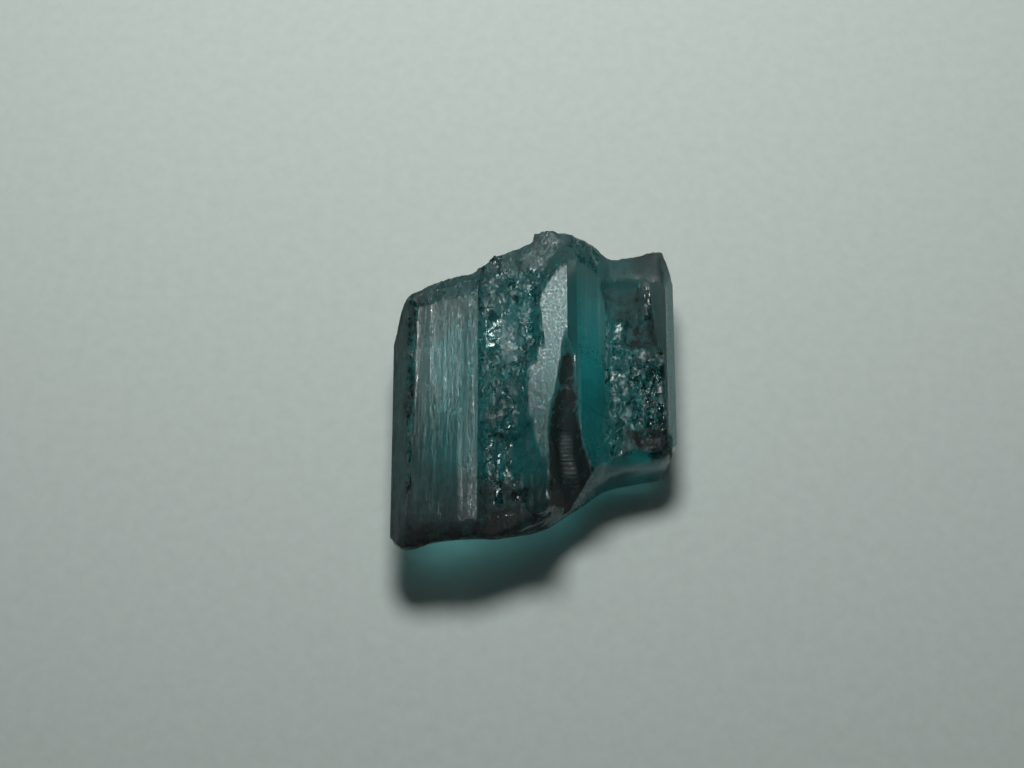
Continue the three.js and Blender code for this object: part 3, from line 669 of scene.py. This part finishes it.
def tourmaline():
    """See-through tourmaline: glassy to frosted, streaked on its grown faces, grimy and painted dark as shade
    on its breaks.
    """
    material = bpy.data.materials.new("tourmaline")
    material.use_nodes = True
    material.node_tree.nodes.clear()
    tree = Tree(material.node_tree)
    place = tree.node("ShaderNodeTexCoord").outputs["Object"]
    frost = tree.painted("frost")
    tone = tree.painted("scale tone")
    streak = fine_streaks(tree, place)
    speckle = tree.noise(place, SPECKLES_PER_METRE, detail=3.0, roughness=0.6)

    # The streaks stand up where the stone is frosted, the speckles where it is clear
    clear = tree.math("SUBTRACT", 1.0, frost, clamp=True)
    fine = tree.math("ADD", tree.math("MULTIPLY", streak, frost), tree.math("MULTIPLY", speckle, clear))
    height = tree.math("ADD", tree.math("MULTIPLY", fine, FINE_RELIEF * MM), flakes(tree, place, tone))
    bump = tree.node("ShaderNodeBump", {"Height": height, "Strength": 1.0, "Distance": 1.0})
    # The base colour darkens with grime and painted shade
    tint = tree.node("ShaderNodeValToRGB", {"Fac": grime(tree, place, streak, tone)})
    tint.color_ramp.elements[0].color = CLEAN_TINT
    tint.color_ramp.elements[1].color = GRIME_AND_SHADE_TINT
    surface = tree.node("ShaderNodeBsdfPrincipled", {
        "Base Color": tint.outputs["Color"], "Roughness": frosted(tree, frost, streak, speckle, tone),
        "Normal": bump.outputs[0], "IOR": REFRACTION, "Transmission Weight": 1.0})
    inside = tree.node("ShaderNodeVolumeAbsorption", {
        "Color": ABSORPTION_COLOUR, "Density": ABSORPTION_PER_METRE})
    tree.node("ShaderNodeOutputMaterial", {"Surface": surface.outputs[0], "Volume": inside.outputs[0]})
    return material


def pale_sheet():
    """The pale matt sheet that the stone lies on."""
    material = bpy.data.materials.new("pale_sheet")
    material.use_nodes = True
    tree = Tree(material.node_tree)
    shader = material.node_tree.nodes["Principled BSDF"]
    place = tree.node("ShaderNodeTexCoord").outputs["Object"]
    fibre = tree.noise(place, SHEET_FIBRES_PER_METRE, detail=4.0, roughness=0.6)
    colour = tree.node("ShaderNodeValToRGB", {"Fac": fibre})
    for element, start, tone in zip(colour.color_ramp.elements, SHEET_TONE_STARTS, SHEET_TONES):
        element.position = start
        element.color = tone
    tree.feed(shader.inputs["Base Color"], colour.outputs["Color"])
    shader.inputs["Roughness"].default_value = SHEET_ROUGHNESS
    shader.inputs["Specular IOR Level"].default_value = SHEET_SPECULAR

    # Beyond the lamp's reach the sheet keeps its pale tone
    away = tree.node("ShaderNodeVectorMath", {0: place}, operation="LENGTH").outputs["Value"]
    shader.inputs["Emission Color"].default_value = FAR_GLOW_COLOUR
    tree.feed(shader.inputs["Emission Strength"], tree.between(away, *FAR_GLOW_REACH, most=FAR_GLOW))
    mesh = bpy.data.meshes.new("sheet")
    corners = [(-FLOOR_HALF, -FLOOR_HALF), (FLOOR_HALF, -FLOOR_HALF),
               (FLOOR_HALF, FLOOR_HALF), (-FLOOR_HALF, FLOOR_HALF)]
    mesh.from_pydata([(x, y, -SHEET_GAP) for x, y in corners], [], [(0, 1, 2, 3)])
    mesh.materials.append(material)
    sheet = bpy.data.objects.new("sheet", mesh)
    bpy.context.collection.objects.link(sheet)


def look_at(thing, point):
    """Turns a lamp or camera to face a point."""
    thing.rotation_euler = (point - thing.location).to_track_quat("-Z", "Y").to_euler()


def round_lamp(name, diameter, power, distance):
    """A round lamp over the stone that faces the sheet behind it."""
    data = bpy.data.lights.new(name, "AREA")
    data.shape = "DISK"
    data.size = diameter
    data.energy = power
    data.color = LAMP_COLOUR
    thing = bpy.data.objects.new(name, data)
    thing.location = STONE_MIDDLE + LAMP_DIRECTION * distance
    look_at(thing, STONE_MIDDLE + Vector((0.0, LAMP_AIM, 0.0)))
    thing.visible_camera = False
    bpy.context.collection.objects.link(thing)


def lamps():
    """One round soft lamp with a wide dim surround."""
    round_lamp("lamp", LAMP_DIAMETER, LAMP_POWER, LAMP_DISTANCE)
    round_lamp("lamp_surround", SURROUND_DIAMETER, SURROUND_POWER, LAMP_DISTANCE + SURROUND_BEHIND)


def room():
    """Dim light from all round, paler near the horizon."""
    world = bpy.data.worlds.new("room")
    world.use_nodes = True
    bpy.context.scene.world = world
    tree = Tree(world.node_tree)
    back = world.node_tree.nodes["Background"]
    place = tree.node("ShaderNodeTexCoord").outputs["Generated"]
    shade = tree.node("ShaderNodeValToRGB", {"Fac": tree.apart(place)["Z"]})
    ramp = shade.color_ramp
    ramp.elements[0].position = 0.0
    ramp.elements[0].color = HORIZON_LIGHT
    ramp.elements[1].position = UPPER_FROM
    ramp.elements[1].color = UPPER_LIGHT
    tree.feed(back.inputs["Color"], shade.outputs["Color"])
    back.inputs["Strength"].default_value = 1.0


def camera():
    """The photo's camera: its angle and scale, with the stone where the photo has it."""
    data = bpy.data.cameras.new("camera")
    data.sensor_fit = "HORIZONTAL"
    data.sensor_width = SENSOR
    data.lens = SENSOR * CAMERA_DISTANCE / MM * PIXELS_PER_MM / PHOTO_SIZE[0]
    data.clip_start = CLIP_START
    thing = bpy.data.objects.new("camera", data)
    back = Vector((0.0, -math.cos(ELEVATION), math.sin(ELEVATION)))
    image_up = Vector((0.0, math.sin(ELEVATION), math.cos(ELEVATION)))
    left = (STONE_PIXEL[0] - PHOTO_SIZE[0] / 2) / PIXELS_PER_MM * MM
    down = (STONE_PIXEL[1] - PHOTO_SIZE[1] / 2) / PIXELS_PER_MM * MM
    aim = STONE_MIDDLE + Vector((-left, 0.0, 0.0)) + image_up * down
    thing.location = aim + back * CAMERA_DISTANCE
    look_at(thing, aim)
    bpy.context.collection.objects.link(thing)
    bpy.context.scene.camera = thing


def light_paths():
    """Enough bounces for light to pass through the stone, and plain colours."""
    scene = bpy.context.scene
    scene.cycles.max_bounces = 16
    scene.cycles.transmission_bounces = 14
    scene.cycles.glossy_bounces = 8
    scene.cycles.sample_clamp_indirect = 0.0
    scene.cycles.sample_clamp_direct = 0.0
    scene.cycles.blur_glossy = 0.5
    scene.cycles.caustics_refractive = True
    scene.cycles.caustics_reflective = True
    scene.view_settings.view_transform = "Standard"


stone = with_relief(refined_stone(), tourmaline())
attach(stone, "root")
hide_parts(CRYSTAL)
pale_sheet()
lamps()
room()
camera()
light_paths()
